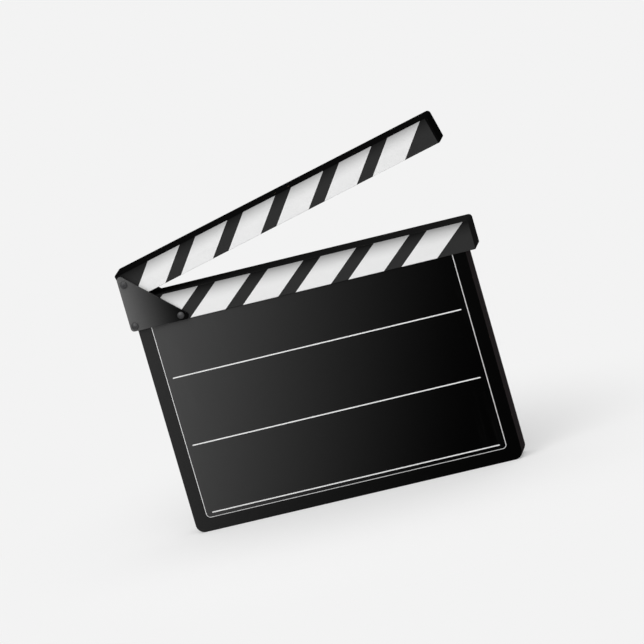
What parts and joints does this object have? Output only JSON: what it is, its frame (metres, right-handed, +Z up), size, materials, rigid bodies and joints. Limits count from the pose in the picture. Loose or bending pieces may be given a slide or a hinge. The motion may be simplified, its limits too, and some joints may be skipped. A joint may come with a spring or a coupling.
{
  "type": "clapperboard",
  "caption": "Film clapperboard: black board with an engraved writing panel and striped clapsticks, the upper one hinged on a corner plate.",
  "frame": {"origin": "middle of the board's flat bottom edge, halfway through its thickness", "axes": "+Z up the board, -Y out of the written front, +X from the hinge towards the sticks' free ends"},
  "size_m": [0.3014, 0.0328, 0.3013],
  "materials": {
    "board_paint": "wood board, satin black paint",
    "panel_laminate": "black over white engraving laminate, satin",
    "stick_paint": "hardwood with black and white diagonal stripes in satin paint",
    "plate_steel": "sheet steel, satin black",
    "post_steel": "darkened steel, domed",
    "screw_steel": "zinc plated steel",
    "bush_brass": "drawn brass tube",
    "washer_fibre": "red vulcanised fibre"
  },
  "bodies": {
    "slate": {"slate_board": "board_paint", "writing_panel": "panel_laminate", "lower_clapstick": "stick_paint", "front_hinge_plate": "plate_steel", "rear_hinge_plate": "plate_steel", "pivot_barrel": "post_steel", "pivot_screw": "screw_steel", "pivot_spring_washer": "screw_steel", "heel_barrel": "post_steel", "heel_screw": "screw_steel", "toe_barrel": "post_steel", "toe_screw": "screw_steel", "board_screw_1": "screw_steel", "board_screw_2": "screw_steel", "board_screw_3": "screw_steel", "board_screw_4": "screw_steel"},
    "clapper": {"upper_clapstick": "stick_paint", "pivot_bush": "bush_brass", "front_friction_washer": "washer_fibre", "rear_friction_washer": "washer_fibre"}
  },
  "joints": [
    {"name": "clapstick_hinge", "type": "hinge", "parent": "slate", "child": "clapper", "pos_m": [-0.143, 0, 0.2235], "axis": [0, -1, 0], "range_deg": [-13.4, 76.6]}
  ]
}
